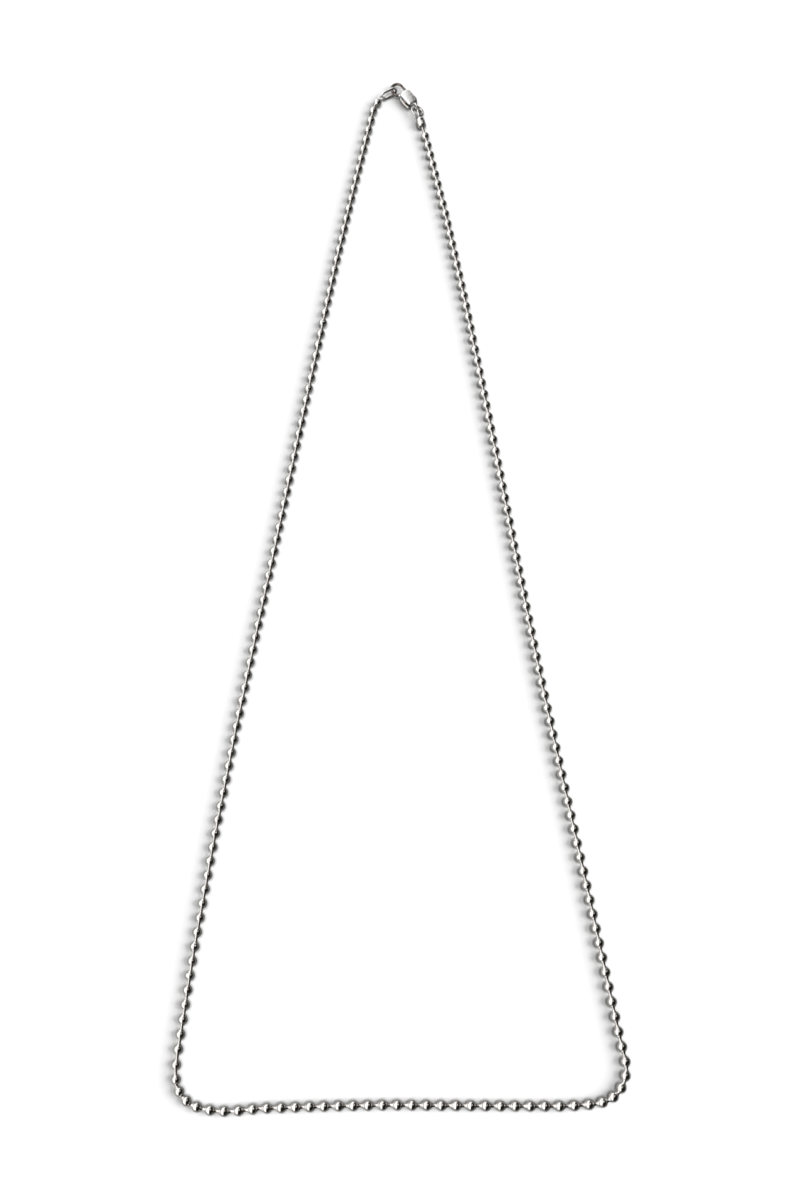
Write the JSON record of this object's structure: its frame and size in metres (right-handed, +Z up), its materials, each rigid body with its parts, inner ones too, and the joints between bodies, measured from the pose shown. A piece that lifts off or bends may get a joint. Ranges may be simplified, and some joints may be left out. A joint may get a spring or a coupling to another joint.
{
  "type": "ball chain necklace",
  "caption": "Closed necklace of small drilled metal balls on rods, laid flat, with a sprung lobster clasp, oblong link, jump ring and end cap at the top.",
  "frame": {"origin": "the middle of the necklace's outline, on the surface that it lies on", "axes": "+X to the right of the laid-out loop, +Y from the bottom of the loop to the clasp, +Z up from the surface"},
  "size_m": [0.1094, 0.2898, 0.0028],
  "materials": {
    "polished": "polished silver-coloured metal",
    "rod": "bright drawn wire",
    "satin": "satin cast metal with polished edges",
    "lever": "polished stamped metal"
  },
  "bodies": {
    "necklace": {"balls_left": "polished", "balls_right": "polished", "rods": "rod", "end_loop": "polished", "oblong_link": "polished", "clasp_body": "satin", "clasp_pin": "rod", "jump_ring": "polished", "end_cap": "polished"},
    "lever": {"clasp_lever": "lever"}
  },
  "joints": [
    {"name": "lever_hinge", "type": "hinge", "parent": "necklace", "child": "lever", "pos_m": [0.00105, 0.13887, 0.0012], "axis": [0, 0, 1], "range_deg": [0, 15], "stiffness_Nm_per_rad": 0.00002}
  ]
}
